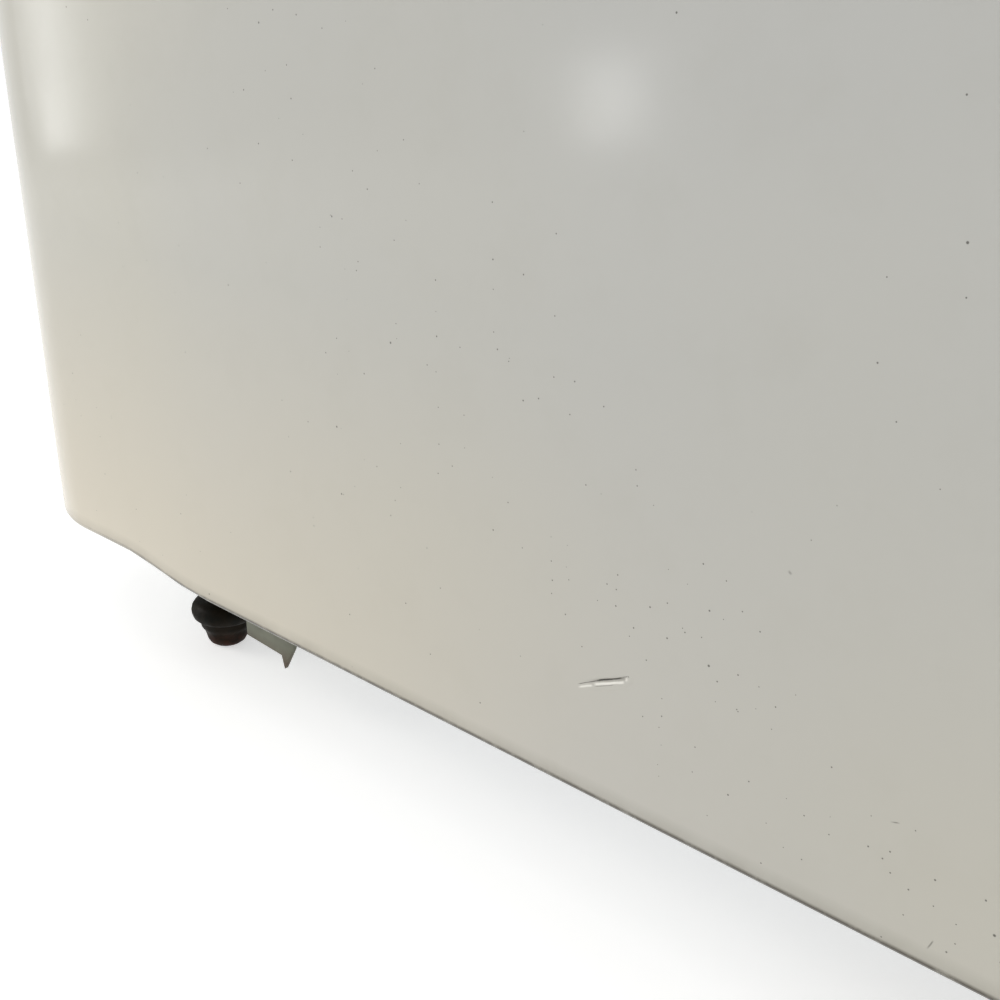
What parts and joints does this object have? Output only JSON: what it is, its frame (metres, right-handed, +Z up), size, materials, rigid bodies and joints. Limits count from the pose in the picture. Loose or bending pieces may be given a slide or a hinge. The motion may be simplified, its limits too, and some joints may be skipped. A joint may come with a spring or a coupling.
{
  "type": "icebox",
  "caption": "Enamelled steel icebox with an ice door over a food door, lift latches, wire shelves, a drained ice pan, a drip drawer and screw feet.",
  "frame": {"origin": "on the floor under the middle of the whole object", "axes": "+Z up; the doors face -Y; the door hinges are on the +X side"},
  "size_m": [0.74, 0.728, 1.42],
  "materials": {
    "cabinet_enamel": "gloss",
    "door_enamel": "gloss",
    "liner_enamel": "gloss",
    "door_liner_enamel": "gloss",
    "galvanised_steel": "galvanised",
    "ice_tray_zinc": "galvanised",
    "rack_wood": "oiled",
    "mineral_wool": "matt",
    "drain_metal": "dull",
    "tinned_wire": "tinned",
    "gasket_rubber": "matt",
    "hinge_chrome": "polished",
    "latch_chrome": "polished",
    "glide_iron": "rusty",
    "bracket_paint": "satin"
  },
  "bodies": {
    "cabinet": {"side_panel_right": "cabinet_enamel", "side_panel_left": "cabinet_enamel", "top_cap": "cabinet_enamel", "front_frame": "cabinet_enamel", "back_panel": "galvanised_steel", "bottom_pan": "galvanised_steel", "base_deck": "galvanised_steel", "pan_support_front": "galvanised_steel", "pan_support_rear": "galvanised_steel", "shelf_rack_right": "galvanised_steel", "shelf_rack_left": "galvanised_steel", "liner": "liner_enamel", "insulation_right": "mineral_wool", "insulation_left": "mineral_wool", "insulation_back": "mineral_wool", "insulation_top": "mineral_wool", "insulation_bottom": "mineral_wool", "ice_pan": "ice_tray_zinc", "ice_rack": "rack_wood", "drain_tube": "drain_metal", "drain_trap": "drain_metal", "ice_hinge_lower_frame_leaf": "hinge_chrome", "ice_hinge_lower_pin": "hinge_chrome", "ice_hinge_upper_frame_leaf": "hinge_chrome", "ice_hinge_upper_pin": "hinge_chrome", "ice_latch_keeper": "latch_chrome", "food_hinge_lower_frame_leaf": "hinge_chrome", "food_hinge_lower_pin": "hinge_chrome", "food_hinge_upper_frame_leaf": "hinge_chrome", "food_hinge_upper_pin": "hinge_chrome", "food_latch_keeper": "latch_chrome", "foot_bracket_front_right": "bracket_paint", "foot_bracket_front_left": "bracket_paint", "foot_bracket_rear_right": "bracket_paint", "foot_bracket_rear_left": "bracket_paint"},
    "ice_door": {"ice_door_shell": "door_enamel", "ice_door_panel": "door_liner_enamel", "ice_door_insulation": "mineral_wool", "ice_door_gasket": "gasket_rubber", "ice_hinge_lower_door_leaf": "hinge_chrome", "ice_hinge_upper_door_leaf": "hinge_chrome", "ice_latch_plate": "latch_chrome"},
    "ice_latch": {"ice_latch_handle": "latch_chrome"},
    "food_door": {"food_door_shell": "door_enamel", "food_door_panel": "door_liner_enamel", "food_door_insulation": "mineral_wool", "food_door_gasket": "gasket_rubber", "food_hinge_lower_door_leaf": "hinge_chrome", "food_hinge_upper_door_leaf": "hinge_chrome", "food_latch_plate": "latch_chrome"},
    "food_latch": {"food_latch_handle": "latch_chrome"},
    "bottom_shelf": {"shelf_bottom": "tinned_wire"},
    "middle_shelf": {"shelf_middle": "tinned_wire"},
    "top_shelf": {"shelf_top": "tinned_wire"},
    "drip_drawer": {"drip_drawer_front": "door_enamel", "drip_pan": "ice_tray_zinc"},
    "front_right_foot": {"foot_front_right": "glide_iron"},
    "front_left_foot": {"foot_front_left": "glide_iron"},
    "rear_right_foot": {"foot_rear_right": "glide_iron"},
    "rear_left_foot": {"foot_rear_left": "glide_iron"}
  },
  "joints": [
    {"name": "ice_door_hinge", "type": "hinge", "parent": "cabinet", "child": "ice_door", "pos_m": [0.273, -0.326, 1.148], "axis": [0, 0, 1], "range_deg": [0, 110]},
    {"name": "ice_latch_lift", "type": "hinge", "parent": "ice_door", "child": "ice_latch", "pos_m": [-0.15, -0.336, 1.148], "axis": [0, 1, 0], "range_deg": [0, 18]},
    {"name": "food_door_hinge", "type": "hinge", "parent": "cabinet", "child": "food_door", "pos_m": [0.273, -0.326, 0.569], "axis": [0, 0, 1], "range_deg": [0, 110]},
    {"name": "food_latch_lift", "type": "hinge", "parent": "food_door", "child": "food_latch", "pos_m": [-0.15, -0.336, 0.64], "axis": [0, 1, 0], "range_deg": [0, 18]},
    {"name": "bottom_shelf_slide", "type": "slide", "parent": "cabinet", "child": "bottom_shelf", "axis": [0, -1, 0], "range_m": [0, 0.055]},
    {"name": "middle_shelf_slide", "type": "slide", "parent": "cabinet", "child": "middle_shelf", "axis": [0, -1, 0], "range_m": [0, 0.055]},
    {"name": "top_shelf_slide", "type": "slide", "parent": "cabinet", "child": "top_shelf", "axis": [0, -1, 0], "range_m": [0, 0.055]},
    {"name": "drip_drawer_slide", "type": "slide", "parent": "cabinet", "child": "drip_drawer", "axis": [0, -1, 0], "range_m": [0, 0.33]},
    {"name": "front_right_foot_screw", "type": "slide", "parent": "cabinet", "child": "front_right_foot", "axis": [0, 0, -1], "range_m": [0, 0.015]},
    {"name": "front_left_foot_screw", "type": "slide", "parent": "cabinet", "child": "front_left_foot", "axis": [0, 0, -1], "range_m": [0, 0.015]},
    {"name": "rear_right_foot_screw", "type": "slide", "parent": "cabinet", "child": "rear_right_foot", "axis": [0, 0, -1], "range_m": [0, 0.015]},
    {"name": "rear_left_foot_screw", "type": "slide", "parent": "cabinet", "child": "rear_left_foot", "axis": [0, 0, -1], "range_m": [0, 0.015]}
  ]
}
